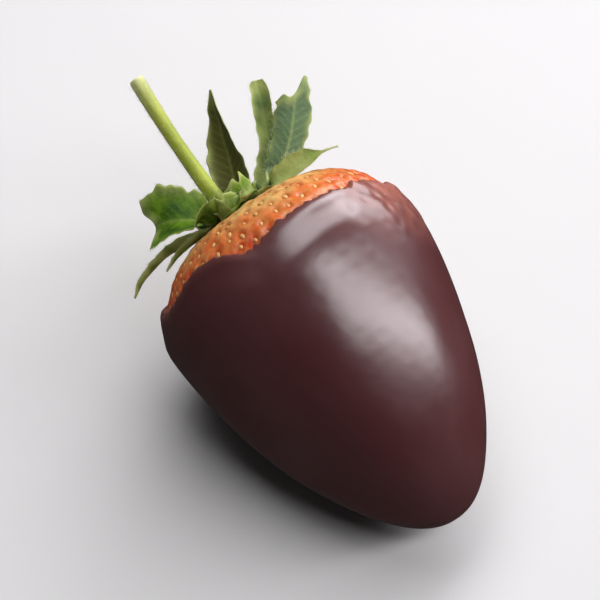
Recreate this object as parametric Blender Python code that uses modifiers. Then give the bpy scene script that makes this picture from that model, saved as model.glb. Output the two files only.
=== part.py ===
"""A strawberry dipped in dark chocolate, lying on its flank on a small flat spot.

Every piece is drawn in the berry's own frame: +Z runs along the axis to the stem, +X is the side that faces
up once the berry lies down, and the origin is the middle of the neck, where the chocolate ends. The empty
berry_axis tips that frame over, so that the tip points along +X and a little down, and puts the origin under
the middle of the whole. Run with blender --background --python part.py, or from the text editor.
"""

import math
from collections import namedtuple

import bmesh
import bpy
from mathutils import Matrix, Vector
from mathutils.geometry import interpolate_bezier

# Lengths are in metres and angles in degrees.
MM = 0.001

# Berry: the length runs from the neck to the tip, and the width is the widest, just below the neck.
BERRY_LENGTH = 44.7 * MM
BERRY_WIDTH = 37.6 * MM
# Its outline from the middle of the crown, over the shoulder, to the tip, as (distance from the neck towards
# the tip / length, radius / half width). Points above the neck are negative.
BERRY_OUTLINE = (
    (-0.128, 0.00),
    (-0.130, 0.16),
    (-0.128, 0.40),
    (-0.112, 0.61),
    (-0.061, 0.81),
    (0.007, 0.936),
    (0.113, 1.000),
    (0.262, 0.965),
    (0.452, 0.878),
    (0.631, 0.745),
    (0.790, 0.560),
    (0.911, 0.355),
    (0.980, 0.170),
    (1.000, 0.00),
)
# Slow unevenness of the round: (waves around, depth / radius, turn, waves from neck to tip).
SWELLS = ((2, 0.016, 20.0, 0.5), (3, 0.010, 75.0, 1.0), (5, 0.005, 10.0, 1.5))

# Chocolate: thin at its ragged upper edge, and at full thickness a little below it.
COAT_THICKNESS = 1.6 * MM
LIP_THICKNESS = 0.8 * MM
LIP_DEPTH = 6.0 * MM
# Ragged upper edge: it dips to one side, waves (waves around, height, turn) and has notches (turn, width,
# depth).
HEM_WAVES = ((1, -1.8 * MM, 68.6), (5, 0.25 * MM, 110.0), (11, 0.22 * MM, 15.0))
HEM_NOTCHES = ((-30.0, 11.0, 2.2 * MM), (135.0, 14.0, 1.2 * MM), (-150.0, 9.0, 1.0 * MM))

GAP = 0.3 * MM  # between pieces that touch
COAT_GAP = 0.4 * MM  # between the berry and the chocolate, whose facets differ

# The way it lies: its axis points this much below the horizontal, and its flank is pressed flat this deep.
TIP_DOWN = 18.5
FOOT_DEPTH = 0.75 * MM

# Green cap. It sits a little off the berry's axis, and the stem stands further off to the same side.
CAP_OFFSET = 1.2 * MM
CAP_TURN = -111.4
DISC_RADIUS = 5.4 * MM
DISC_HEIGHT = 1.3 * MM
LEAF_THICKNESS = 0.45 * MM
LEAF_SET_BACK = 0.35 * MM  # of a leaf's root, which tilts, beyond its gap to the disc
STEM_RADIUS = 1.1 * MM
STEM_LENGTH = 23.6 * MM
STEM_OFFSET = 1.25 * MM
STEM_BOW = 0.35 * MM

# Mesh fineness.
SEGMENTS = 48
CROWN_ROWS = 6
BODY_ROWS = 17
LEAF_STEPS = 8
LEAF_STRIPS = 4
STEM_STEPS = 8

# Each leaf leaves the disc at root_turn and ends at tip_turn, tip_out from the axis and tip_up above the
# crown, and rise is how steeply it starts. Turns are about the axis from the upper side. Lengths are in
# millimetres, roll turns the blade on its length, and end is its width at the tip as a share of its full one.
Leaf = namedtuple("Leaf", "root_turn tip_turn tip_out tip_up rise width roll end")
SEPALS = (
    Leaf(2.0, 4.0, 7.0, 5.1, 2.4, 4.4, 0.0, 0.50),
    Leaf(-67.0, -100.0, 12.7, 6.8, 4.4, 7.8, -75.0, 0.80),
    Leaf(-130.0, -121.0, 19.3, 0.0, 2.2, 3.4, 0.0, 0.07),
    Leaf(160.0, 107.0, 8.6, 19.3, 2.4, 5.8, 0.0, 0.07),
    Leaf(66.0, 73.5, 18.0, 13.5, 3.2, 5.3, -75.0, 0.65),
)
BRACTLETS = (
    Leaf(44.0, 52.0, 17.8, 0.4, 1.5, 3.4, 40.0, 0.07),
    Leaf(-25.0, -32.0, 7.5, 3.5, 0.8, 3.4, 0.0, 0.50),
    Leaf(-92.0, -92.0, 13.6, -0.9, 0.2, 2.6, 0.0, 0.07),
    Leaf(-168.4, -171.4, 13.5, 9.0, 1.1, 4.0, 10.0, 0.07),
    Leaf(110.0, 87.0, 13.7, 16.4, 3.2, 4.0, 70.0, 0.40),
)
# Share of its length by which a leaf has all its roll.
ROLLED_BY = 0.35
# The sepals spring from a little above the bractlets.
LAYER = 0.7 * MM

CHOCOLATE = ((0.030, 0.012, 0.009), 0.25)
BERRY_RED = ((0.55, 0.06, 0.02), 0.35)
LEAF_GREEN = ((0.07, 0.14, 0.02), 0.55)
STEM_GREEN = ((0.30, 0.38, 0.06), 0.50)


# --- Scene and materials ---------------------------------------------------------------------------------


def clear_scene():
    for obj in list(bpy.data.objects):
        bpy.data.objects.remove(obj)


def parts_collection():
    collection = bpy.data.collections.new("chocolate_coated_strawberry")
    bpy.context.scene.collection.children.link(collection)
    return collection


def material(name, colour, roughness):
    made = bpy.data.materials.new(name)
    made.use_nodes = True
    shader = made.node_tree.nodes["Principled BSDF"]
    shader.inputs["Base Color"].default_value = (*colour, 1.0)
    shader.inputs["Roughness"].default_value = roughness
    shader.inputs["Metallic"].default_value = 0.0
    return made


def add_mesh_object(name, bm, finish, collection):
    """A new smooth object from `bm`, with a material of its own."""
    mesh = bpy.data.meshes.new(name)
    bm.to_mesh(mesh)
    bm.free()
    mesh.shade_smooth()
    obj = bpy.data.objects.new(name, mesh)
    mesh.materials.append(material(name, *finish))
    collection.objects.link(obj)
    return obj


# --- The berry's outline ---------------------------------------------------------------------------------


def smooth_line(points, steps_per_span=12):
    """A smooth curve through `points`, which start and end on the axis and cross it square."""
    knots = [Vector((along, out, 0.0)) for along, out in points]
    first = Vector((knots[1].x, -knots[1].y, 0.0))
    last = Vector((knots[-2].x, -knots[-2].y, 0.0))
    knots = [first, *knots, last]
    line = []
    for before, start, end, after in zip(knots, knots[1:], knots[2:], knots[3:]):
        leave = start + (end - before) / 6
        arrive = end - (after - start) / 6
        line += interpolate_bezier(start, leave, arrive, end, steps_per_span + 1)[:-1]
    line.append(knots[-2])
    return line


class Outline:
    """The berry's outline, read by distance along it from the middle of the crown."""

    def __init__(self):
        half_width = BERRY_WIDTH / 2
        points = [(-BERRY_LENGTH * down, half_width * out) for down, out in BERRY_OUTLINE]
        self.line = smooth_line(points)
        self.reach = [0.0]
        for start, end in zip(self.line, self.line[1:]):
            self.reach.append(self.reach[-1] + (end - start).length)
        self.length = self.reach[-1]
        self.neck = next(reach for reach, spot in zip(self.reach, self.line) if spot.x < 0 and reach > 0.01)

    def at(self, reach):
        """(height along the axis, radius) and the outward normal, at this distance along the outline."""
        reach = min(max(reach, 0.0), self.length)
        span = 0
        while span < len(self.line) - 2 and self.reach[span + 1] < reach:
            span += 1
        start, end = self.line[span], self.line[span + 1]
        share = (reach - self.reach[span]) / (self.reach[span + 1] - self.reach[span])
        along = (end - start).normalized()
        return start.lerp(end, share), Vector((along.y, -along.x, 0.0))

    def height_at(self, radius):
        """Height of the crown at this radius from the axis."""
        for start, end in zip(self.line, self.line[1:]):
            if start.y <= radius <= end.y:
                return start.lerp(end, (radius - start.y) / (end.y - start.y)).x
        raise ValueError("no crown at this radius")


def swell(angle, height):
    """Slow unevenness of the round, as a factor on the radius."""
    down = -height / BERRY_LENGTH
    factor = 1.0
    for waves, depth, turn, along in SWELLS:
        factor += depth * math.cos(waves * angle - math.radians(turn) + math.pi * along * down)
    return factor


def body_point(outline, reach, angle, proud):
    """A point of the body at `angle` around it, standing `proud` of the berry's own surface."""
    spot, normal = outline.at(reach)
    height = spot.x + normal.x * proud
    radius = (spot.y + normal.y * proud) * swell(angle, spot.x)
    return Vector((radius * math.cos(angle), radius * math.sin(angle), height))


def rows_of_sphere(bm, rows):
    """A unit sphere in `bm`, and each of its vertices with its row, from 0 at the crown, and its angle."""
    bmesh.ops.create_uvsphere(bm, u_segments=SEGMENTS, v_segments=rows, radius=1.0)
    for vert in bm.verts:
        polar = math.acos(max(-1.0, min(1.0, vert.co.z)))
        yield vert, round(polar / math.pi * rows), math.atan2(vert.co.y, vert.co.x)


# --- How it lies -----------------------------------------------------------------------------------------


def lying_frame(height):
    """The berry's frame in the row's, with the middle of the neck this high above the floor."""
    return Matrix.Translation((0, 0, height)) @ Matrix.Rotation(math.radians(TIP_DOWN - 90), 4, "Y")


def press_flat(bm, frame, floor):
    """Moves every point under `floor` straight up to it, in the lying position."""
    back = frame.inverted()
    for vert in bm.verts:
        lying = frame @ vert.co
        if lying.z < floor:
            lying.z = floor
            vert.co = back @ lying


# --- Pieces ----------------------------------------------------------------------------------------------


def coat_thickness(below_hem):
    """Thickness of the chocolate at this distance below its upper edge."""
    share = min(max(below_hem / LIP_DEPTH, 0.0), 1.0)
    return LIP_THICKNESS + (COAT_THICKNESS - LIP_THICKNESS) * share * share * (3 - 2 * share)


def hem_reach(outline, angle):
    """Where the chocolate ends, as a distance along the outline."""
    rise = sum(height * math.cos(waves * angle - math.radians(turn)) for waves, height, turn in HEM_WAVES)
    for turn, width, depth in HEM_NOTCHES:
        off = (math.degrees(angle) - turn + 180) % 360 - 180
        rise -= depth * math.exp(-((off / width) ** 2))
    return outline.neck - rise


def coat_skin(outline):
    """The outer skin of the chocolate, open at the neck, and the share of full thickness at each vertex."""
    bm = bmesh.new()
    shares = {}
    crown = None
    for vert, row, angle in rows_of_sphere(bm, BODY_ROWS + 1):
        if row == 0:
            crown = vert
            continue
        hem = hem_reach(outline, angle)
        below = (outline.length - hem) * (row - 1) / BODY_ROWS
        thick = coat_thickness(below)
        vert.co = body_point(outline, hem + below, angle, COAT_GAP + thick)
        shares[vert] = thick / COAT_THICKNESS
    bmesh.ops.delete(bm, geom=[crown], context="VERTS")
    bm.verts.index_update()
    return bm, {vert.index: share for vert, share in shares.items()}


def make_coat(skin, shares, collection):
    coat = add_mesh_object("chocolate_coat", skin, CHOCOLATE, collection)
    group = coat.vertex_groups.new(name="thickness")
    for index, share in shares.items():
        group.add([index], share, "REPLACE")
    shell = coat.modifiers.new("shell", "SOLIDIFY")
    shell.thickness = COAT_THICKNESS
    shell.offset = -1.0
    shell.use_even_offset = True
    shell.vertex_group = group.name
    return coat


def make_berry(outline, frame, collection):
    bm = bmesh.new()
    rows = CROWN_ROWS + BODY_ROWS
    for vert, row, angle in rows_of_sphere(bm, rows):
        if row < CROWN_ROWS:
            reach = outline.neck * row / CROWN_ROWS
        else:
            reach = outline.neck + (outline.length - outline.neck) * (row - CROWN_ROWS) / BODY_ROWS
        vert.co = body_point(outline, reach, angle, 0.0)
    press_flat(bm, frame, COAT_THICKNESS + COAT_GAP)
    return add_mesh_object("strawberry", bm, BERRY_RED, collection)


def make_disc(outline, collection):
    """The round middle of the cap: a low dome on the crown, hollowed under to sit on it."""
    top = outline.height_at(0.0) + GAP + DISC_HEIGHT
    bm = bmesh.new()
    profile = [Vector((0, 0, top))]
    for share in (0.3, 0.6, 0.85, 1.0):
        drop = 0.75 * DISC_HEIGHT * share**3
        profile.append(Vector((DISC_RADIUS * share, 0, top - drop)))
    for share in (1.0, 0.75, 0.5, 0.25):
        radius = DISC_RADIUS * share
        profile.append(Vector((radius, 0, outline.height_at(radius) + GAP)))
    profile.append(Vector((0, 0, outline.height_at(0.0) + GAP)))
    verts = [bm.verts.new(point) for point in profile]
    for start, end in zip(verts, verts[1:]):
        bm.edges.new((start, end))
    disc = add_mesh_object("calyx_disc", bm, LEAF_GREEN, collection)
    turn = disc.modifiers.new("turn", "SCREW")
    turn.steps = 24
    turn.render_steps = 24
    turn.use_merge_vertices = True
    turn.merge_threshold = 0.00001
    return disc, top


def leaf_half_width(share, leaf):
    """Half the width of a leaf at this share of its length: narrow at the root and full at 0.45."""
    root = 0.55 * (1 - share) ** 6
    belly = math.sin(math.pi * share**0.87) ** 0.75
    least = leaf.end if share > 0.45 else 0.0
    return 0.5 * leaf.width * MM * max(root + belly, least)


def leaf_spot(leaf, share, root, tip, bend):
    """Middle, side and face directions of a leaf at this share of its length."""
    spot = root.lerp(bend, share).lerp(bend.lerp(tip, share), share)
    along = (bend - root).lerp(tip - bend, share).normalized()
    turn = math.radians(leaf.root_turn + (leaf.tip_turn - leaf.root_turn) * share)
    side = Vector((-math.sin(turn), math.cos(turn), 0.0))
    side = (side - along * side.dot(along)).normalized()
    rolled = min(share / ROLLED_BY, 1.0)
    rolled = rolled * rolled * (3 - 2 * rolled)
    side.rotate(Matrix.Rotation(math.radians(leaf.roll) * rolled, 3, along))
    return spot, side, along.cross(side)


def polar(turn, out, height):
    angle = math.radians(turn)
    return Vector((out * math.cos(angle), out * math.sin(angle), height))


def make_leaf(name, leaf, layer, outline, collection):
    """A thin curved leaf that leaves the crown flat and bends back towards the stem."""
    root_out = DISC_RADIUS + GAP + LEAF_SET_BACK
    crown = outline.height_at(0.0)
    root_height = outline.height_at(root_out) + GAP + 0.8 * LEAF_THICKNESS + layer
    root = polar(leaf.root_turn, root_out, root_height)
    tip = polar(leaf.tip_turn, leaf.tip_out * MM, crown + leaf.tip_up * MM)
    bend_out = root_out + 0.55 * (leaf.tip_out * MM - root_out)
    bend_turn = 0.7 * leaf.root_turn + 0.3 * leaf.tip_turn
    bend = polar(bend_turn, bend_out, root_height + leaf.rise * MM)
    bm = bmesh.new()
    bmesh.ops.create_grid(bm, x_segments=LEAF_STEPS, y_segments=LEAF_STRIPS, size=1.0)
    for vert in bm.verts:
        share = (vert.co.x + 1) / 2
        across = vert.co.y
        spot, side, face = leaf_spot(leaf, share, root, tip, bend)
        half = leaf_half_width(share, leaf)
        cup = 0.22 * half * across * across
        vert.co = spot + side * half * across + face * cup
    obj = add_mesh_object(name, bm, LEAF_GREEN, collection)
    blade = obj.modifiers.new("blade", "SOLIDIFY")
    blade.thickness = LEAF_THICKNESS
    blade.offset = 0.0
    return obj


def make_stem(base_height, collection):
    """A round stalk, a little wider at its foot and at its cut end, with a slight bow away from the axis."""
    curve = bpy.data.curves.new("stem", "CURVE")
    curve.dimensions = "3D"
    curve.bevel_depth = STEM_RADIUS
    curve.bevel_resolution = 3
    curve.use_fill_caps = True
    spline = curve.splines.new("POLY")
    spline.points.add(STEM_STEPS)
    for step, point in enumerate(spline.points):
        share = step / STEM_STEPS
        out = STEM_OFFSET + STEM_BOW * math.sin(math.pi * share)
        spot = polar(CAP_TURN, out, base_height + GAP + STEM_LENGTH * share)
        point.co = (*spot, 1.0)
        point.radius = 1.0 + 0.25 * (1 - share) ** 6 + 0.08 * share**8
    stem = bpy.data.objects.new("stem", curve)
    curve.materials.append(material("stem", *STEM_GREEN))
    collection.objects.link(stem)
    return stem


def centre_over_origin(empty, pieces):
    """Slides the empty so that the middle of the pieces' box is over the row's origin."""
    bpy.context.view_layer.update()
    graph = bpy.context.evaluated_depsgraph_get()
    spots = []
    for piece in pieces:
        evaluated = piece.evaluated_get(graph)
        mesh = evaluated.to_mesh()
        spots += [evaluated.matrix_world @ vert.co for vert in mesh.vertices]
        evaluated.to_mesh_clear()
    for axis in range(2):
        low = min(spot[axis] for spot in spots)
        high = max(spot[axis] for spot in spots)
        empty.location[axis] -= (low + high) / 2
    bpy.context.view_layer.update()


def main():
    clear_scene()
    collection = parts_collection()
    outline = Outline()

    skin, shares = coat_skin(outline)
    level = lying_frame(0.0)
    lowest = min((level @ vert.co).z for vert in skin.verts)
    frame = lying_frame(-lowest - FOOT_DEPTH)
    press_flat(skin, frame, 0.0)

    pieces = [make_coat(skin, shares, collection), make_berry(outline, frame, collection)]
    disc, disc_top = make_disc(outline, collection)
    pieces += [disc, make_stem(disc_top, collection)]
    for kind, layer, leaves in (("sepal", LAYER, SEPALS), ("bractlet", 0.0, BRACTLETS)):
        for number, leaf in enumerate(leaves, 1):
            pieces.append(make_leaf(f"{kind}_{number}", leaf, layer, outline, collection))

    empty = bpy.data.objects.new("berry_axis", None)
    collection.objects.link(empty)
    empty.matrix_world = frame
    for piece in pieces:
        piece.parent = empty
    for piece in pieces[2:]:
        piece.location = polar(CAP_TURN, CAP_OFFSET, 0.0)
    centre_over_origin(empty, pieces)


main()
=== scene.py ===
"""Chocolate coated strawberry: its detailed pieces and finishes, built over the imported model.

The berry is modelled in its own frame: +Z runs along its axis to the stem, +X is the side that faces up once
the berry lies down, and the origin is the middle of the neck, where the chocolate ends. Every piece is then
laid down into the row's frame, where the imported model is. Lengths are in metres.
"""

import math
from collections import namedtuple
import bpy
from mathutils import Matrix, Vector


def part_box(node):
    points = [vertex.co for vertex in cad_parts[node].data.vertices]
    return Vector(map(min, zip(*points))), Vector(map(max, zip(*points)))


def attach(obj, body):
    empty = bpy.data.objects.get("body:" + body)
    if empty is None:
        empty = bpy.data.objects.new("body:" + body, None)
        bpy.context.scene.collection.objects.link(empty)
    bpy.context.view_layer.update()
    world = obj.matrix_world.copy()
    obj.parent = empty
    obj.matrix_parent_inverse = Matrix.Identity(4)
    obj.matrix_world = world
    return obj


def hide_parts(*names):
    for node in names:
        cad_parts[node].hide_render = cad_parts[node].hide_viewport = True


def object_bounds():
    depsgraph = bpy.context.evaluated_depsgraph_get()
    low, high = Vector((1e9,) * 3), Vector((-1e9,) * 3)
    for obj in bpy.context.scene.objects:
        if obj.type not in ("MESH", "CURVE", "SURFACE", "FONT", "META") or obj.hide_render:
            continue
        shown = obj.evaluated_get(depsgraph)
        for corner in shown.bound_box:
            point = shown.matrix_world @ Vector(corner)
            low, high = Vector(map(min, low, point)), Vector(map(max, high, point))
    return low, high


bl_info = {
    "name": "Chocolate Coated Strawberry",
    "version": (1, 0, 0),
    "blender": (4, 5, 0),
    "location": "View3D > Sidebar > Strawberry",
    "description": "Builds a dipped strawberry with its green cap, finishes and studio",
    "category": "Add Mesh",
}

import bpy
import numpy as np
from bpy.props import FloatProperty, FloatVectorProperty, PointerProperty
from bpy.types import Operator, Panel, PropertyGroup
from mathutils import Matrix, Vector, kdtree

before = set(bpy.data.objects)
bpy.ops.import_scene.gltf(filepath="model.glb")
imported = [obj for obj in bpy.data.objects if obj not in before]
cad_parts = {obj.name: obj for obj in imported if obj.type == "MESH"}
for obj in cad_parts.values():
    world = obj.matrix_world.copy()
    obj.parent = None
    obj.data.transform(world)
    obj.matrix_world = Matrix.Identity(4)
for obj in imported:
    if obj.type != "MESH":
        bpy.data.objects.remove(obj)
cad_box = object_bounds()

MM = 0.001
TAU = 2 * math.pi

# --- The shape of the berry ---

# Its outline from the middle of the crown, over the shoulder, to the tip, as (distance from the neck towards
# the tip / length, radius / half width). Points above the neck are negative.
BERRY_OUTLINE = (
    (-0.128, 0.00), (-0.130, 0.16), (-0.128, 0.40), (-0.112, 0.61), (-0.061, 0.81), (0.007, 0.936),
    (0.113, 1.000), (0.262, 0.965), (0.452, 0.878), (0.631, 0.745), (0.790, 0.560), (0.911, 0.355),
    (0.980, 0.170), (1.000, 0.00),
)
# Slow unevenness of the round: (waves around, depth / radius, turn, waves from neck to tip).
SWELLS = ((2, 0.016, 20.0, 0.5), (3, 0.010, 75.0, 1.0), (5, 0.005, 10.0, 1.5))

# Ragged upper edge of the chocolate: waves (waves around, height, turn) and notches (turn, width, depth).
HEM_WAVES = ((1, -1.8 * MM, 68.6), (5, 0.25 * MM, 110.0), (11, 0.22 * MM, 15.0))
HEM_NOTCHES = (
    (-30.0, 11.0, 2.2 * MM), (135.0, 14.0, 1.2 * MM), (-150.0, 9.0, 1.0 * MM), (-84.0, 24.0, 2.0 * MM),
)
# Where the dip left the chocolate thin: (turn, width in turn, lowest reach below the edge, share of the dip).
THIN_PATCHES = ((49.0, 26.0, 13.0 * MM, 1.0), (172.0, 16.0, 4.0 * MM, 0.6), (-100.0, 12.0, 3.0 * MM, 0.5))

# --- The shape of the green cap ---

# Each leaf leaves the disc at root_turn and ends at tip_turn, tip_out from the axis and tip_up above the
# crown, and rise is how steeply it starts. Turns are about the axis from the upper side. Lengths are in
# millimetres, and roll turns the blade on its length. outline names its width along the length, lobes
# (across, length share, breadth) shape its end, curl lifts its edges, and the last three tint it: painted
# shade over a leaf that lies in shade, a silvery tone, and paleness that is partly painted highlight.
Leaf = namedtuple(
    "Leaf",
    "root_turn tip_turn tip_out tip_up rise width roll outline lobes curl olive silver pale",
    defaults=(0.0, 0.0, 0.0),
)
SEPALS = (
    Leaf(2.0, 4.0, 7.0, 5.0, 2.4, 4.8, 0.0, "short", ((-0.45, 0.2, 0.3), (0.4, 0.3, 0.32)), 0.3, pale=0.45),
    Leaf(-67.0, -100.0, 11.9, 5.7, 3.8, 8.8, -75.0, "broad", ((-0.72, 0.1, 0.36), (0.74, 0.04, 0.34)), 0.12),
    Leaf(-130.0, -121.0, 19.3, 0.0, 2.2, 3.4, 0.0, "lance", (), 0.3, pale=0.85),
    Leaf(160.0, 107.0, 8.6, 19.3, 2.4, 6.0, 0.0, "lance", (), 0.16, olive=1.0),
    Leaf(
        66.0, 73.5, 18.0, 13.5, 3.2, 5.3, -75.0, "flared", ((0.85, 0.22, 0.8), (-0.62, 0.06, 0.3)), 0.05,
        silver=0.9,
    ),
)
BRACTLETS = (
    Leaf(44.0, 52.0, 17.8, 0.1, 0.9, 3.6, 60.0, "whisker", (), 0.3, pale=1.0),
    Leaf(
        -25.0, -32.0, 7.4, 3.7, 0.9, 4.2, 0.0, "short", ((-0.35, 0.24, 0.34), (0.55, 0.14, 0.3)), 0.24,
        pale=0.3,
    ),
    Leaf(-92.0, -92.0, 13.6, -0.9, 0.2, 2.6, 0.0, "lance", (), 0.3, pale=0.85),
    Leaf(-168.4, -171.4, 13.5, 9.0, 1.1, 4.0, 10.0, "lance", (), 0.25, olive=0.4),
    Leaf(112.0, 87.0, 13.7, 16.4, 3.3, 5.4, 75.0, "blunt", (), 0.1, silver=0.5, pale=0.42),
)
# Half width of a leaf along its length, as (share of the length, share of the full half width).
LEAF_OUTLINES = {
    "lance": ((0.0, 0.70), (0.16, 0.86), (0.40, 1.00), (0.66, 0.78), (0.86, 0.40), (1.0, 0.06)),
    "short": ((0.0, 0.86), (0.25, 1.00), (0.50, 1.00), (0.74, 0.90), (0.90, 0.70), (1.0, 0.50)),
    "broad": ((0.0, 0.40), (0.15, 0.66), (0.34, 0.98), (0.70, 1.00), (0.88, 0.92), (1.0, 0.82)),
    "flared": ((0.0, 0.45), (0.20, 0.66), (0.45, 0.90), (0.70, 1.00), (0.88, 0.92), (1.0, 0.76)),
    "blunt": ((0.0, 0.60), (0.16, 0.92), (0.34, 0.98), (0.54, 0.60), (0.85, 0.50), (0.96, 0.44), (1.0, 0.28)),
    "whisker": ((0.0, 0.70), (0.28, 0.90), (0.52, 1.0), (0.70, 0.84), (0.79, 0.36), (0.86, 0.1), (1.0, 0.05)),
}
# The leaves of each kind, and how far above the bractlets they spring.
LEAVES = {"sepal": (SEPALS, 0.7 * MM), "bractlet": (BRACTLETS, 0.0)}
GAP = 0.3 * MM  # between pieces that touch
COLLAR_OUT = 3.4 * MM  # where a leaf starts, inside the disc's rim
ROLLED_BY = 0.2  # share of its length by which a leaf has all its roll
VEIN_SPACING = 1.25 * MM
VEIN_DEPTH = 0.05 * MM
MIDRIB_WIDTH = 0.22 * MM
# Waves of a leaf's edge: paces along its length, and depths as shares of its half width.
EDGE_PACES = np.array((8.0, 18.0, 37.0, 61.0))
EDGE_DEPTHS = np.array((0.05, 0.04, 0.04, 0.03))

# --- Mesh fineness ---

# Steps in each span of the berry's outline, and of other smooth curves.
OUTLINE_STEPS = 40
CURVE_STEPS = 12
# Points round the berry and the chocolate, and the distance or number of their rings.
COLUMNS = 600
CROWN_STEP = 0.25 * MM
HIDDEN_RINGS = 30
LIP_RINGS = 9
LIP_STEP = 0.22 * MM
BODY_STEP = 0.55 * MM
INNER_RINGS = 22
DISC_COLUMNS, DISC_RINGS, DISC_UNDER_RINGS = 120, 16, 8
LEAF_ROWS, LEAF_COLUMNS = 100, 41
STALK_COLUMNS, STALK_RINGS, DISH_RINGS = 40, 70, 5
# Hairs on each leaf and on the stalk.
EDGE_HAIRS = 260
STALK_HAIRS = 1500

# --- Settings ---


def length_of(label, words, size):
    return FloatProperty(name=label, description=words, default=size, unit="LENGTH", precision=5)


def turn_of(label, words, degrees):
    return FloatProperty(name=label, description=words, default=math.radians(degrees), subtype="ANGLE")


def colour_of(label, words, red, green, blue):
    colour = (red, green, blue)
    return FloatVectorProperty(name=label, description=words, default=colour, subtype="COLOR", min=0, max=1)


class BerrySettings(PropertyGroup):
    length: length_of("Length", "From the neck to the tip", 44.7 * MM)
    width: length_of("Width", "The widest, just below the neck", 37.6 * MM)
    tip_down: turn_of("Tip Down", "How far its axis points below the horizontal", 18.5)
    seed_spacing: length_of("Seed Spacing", "From one seed to the next", 2.3 * MM)
    seed_length: length_of("Seed Length", "The length of one seed", 1.08 * MM)
    pit_depth: length_of("Pit Depth", "How deep each seed sits", 0.32 * MM)
    crown_colour: colour_of("Crown Colour", "Pale flesh by the leaves", 0.72, 0.45, 0.145)
    band_colour: colour_of("Band Colour", "Flesh between crown and edge", 0.65, 0.170, 0.033)
    ripe_colour: colour_of("Ripe Colour", "Flesh at the chocolate's edge", 0.56, 0.056, 0.019)
    seed_colour: colour_of("Seed Colour", "Seeds", 0.72, 0.44, 0.14)


class ChocolateSettings(PropertyGroup):
    thickness: length_of("Thickness", "Of the coat on the body", 1.6 * MM)
    lip_thickness: length_of("Lip Thickness", "Of the coat at its edge", 0.8 * MM)
    lip_depth: length_of("Lip Depth", "How far below its edge the coat is full", 6.0 * MM)
    seat: length_of("Seat", "How far the coat stands off the berry's mean round", 0.4 * MM)
    scallop: length_of("Scallop", "How far the edge wavers", 0.26 * MM)
    bead: length_of("Bead", "Height of the bead below the edge", 0.22 * MM)
    sag: length_of("Sag", "Slow unevenness of the coat", 0.10 * MM)
    colour: colour_of("Colour", "Dark chocolate", 0.075, 0.0175, 0.0185)
    bloom_colour: colour_of("Bloom Colour", "Dull patches", 0.090, 0.0265, 0.0290)
    thin_colour: colour_of("Thin Colour", "Where the berry shows through", 0.42, 0.150, 0.110)


class CapSettings(PropertyGroup):
    offset: length_of("Offset", "How far the cap sits off the axis", 1.2 * MM)
    turn: turn_of("Turn", "The side to which it sits", -111.4)
    disc_radius: length_of("Disc Radius", "Of the round middle of the cap", 5.4 * MM)
    disc_height: length_of("Disc Height", "Of the round middle of the cap", 1.3 * MM)
    leaf_thickness: length_of("Leaf Thickness", "Of a leaf in its middle", 0.34 * MM)
    stem_radius: length_of("Stem Radius", "Of the stalk", 1.05 * MM)
    stem_length: length_of("Stem Length", "Of the stalk", 23.6 * MM)
    stem_offset: length_of("Stem Offset", "How far it stands off the cap's middle", 1.25 * MM)
    stem_bow: length_of("Stem Bow", "How far its middle bows out", 0.35 * MM)
    hair_length: length_of("Hair Length", "Of the longest hairs", 0.65 * MM)
    hair_thickness: length_of("Hair Thickness", "At a hair's root", 0.035 * MM)
    leaf_colour: colour_of("Leaf Colour", "Fresh green", 0.095, 0.195, 0.0045)
    deep_colour: colour_of("Deep Colour", "Green between the veins", 0.018, 0.062, 0.002)
    # Pale edges and tips are partly painted highlight; this colour also tints the veins.
    pale_and_highlight_colour: colour_of("Margin Colour", "Pale edges and tips", 0.40, 0.47, 0.15)
    # Painted shade: this colour darkens whole leaves that lie in shade.
    painted_shade_colour: colour_of("Olive Colour", "Leaves gone olive", 0.075, 0.078, 0.016)
    silver_colour: colour_of("Silver Colour", "Silky undersides", 0.090, 0.150, 0.074)
    stem_colour: colour_of("Stem Colour", "Stalk", 0.39, 0.44, 0.046)
    hair_colour: colour_of("Hair Colour", "Fine hairs", 0.66, 0.70, 0.48)
    cut_colour: colour_of("Cut Colour", "Cut end of the stalk", 0.74, 0.74, 0.44)


class StudioSettings(PropertyGroup):
    azimuth: turn_of("Azimuth", "Where the camera stands around the berry", 50.8)
    elevation: turn_of("Elevation", "How far above the horizon it stands", 55.2)
    roll: turn_of("Roll", "How far it is rolled", 3.1)
    distance: length_of("Distance", "From the camera to what it looks at", 0.72)
    field: length_of("Field", "Width that it sees at the berry", 85.15 * MM)
    aim_right: length_of("Aim Right", "Middle of the picture, right of the neck", 4.06 * MM)
    aim_down: length_of("Aim Down", "Middle of the picture, below the neck", 7.40 * MM)
    key_power: FloatProperty(name="Key Power", description="Strip light from the right", default=3.4)
    back_power: FloatProperty(name="Back Power", description="Soft light from behind the cap", default=2.3)
    rim_power: FloatProperty(name="Rim Power", description="Strip light over the cap", default=4.0)
    ambient: FloatProperty(name="Ambient", description="Light from all around", default=0.028)
    floor_colour: colour_of("Floor Colour", "Floor", 0.62, 0.63, 0.62)


# --- Curves and meshes ---


def smooth_curve(points, steps):
    """A smooth curve through the rows of `points`, with `steps` stops in each span."""
    knots = np.asarray(points, float)
    knots = np.vstack([2 * knots[0] - knots[1], knots, 2 * knots[-1] - knots[-2]])
    share = np.linspace(0.0, 1.0, steps, endpoint=False)[:, None]
    spans = []
    for before, start, end, after in zip(knots, knots[1:], knots[2:], knots[3:]):
        bend = 2 * before - 5 * start + 4 * end - after
        twist = 3 * (start - end) + after - before
        spans.append(start + share / 2 * (end - before + share * (bend + share * twist)))
    return np.vstack([*spans, knots[-2:-1]])


def smooth_value(points, at):
    """A smooth curve through (place, value) points, read at the places `at`."""
    line = smooth_curve(points, CURVE_STEPS)
    return np.interp(at, line[:, 0], line[:, 1])


def smooth_step(share):
    share = np.clip(share, 0.0, 1.0)
    return share * share * (3 - 2 * share)


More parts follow.
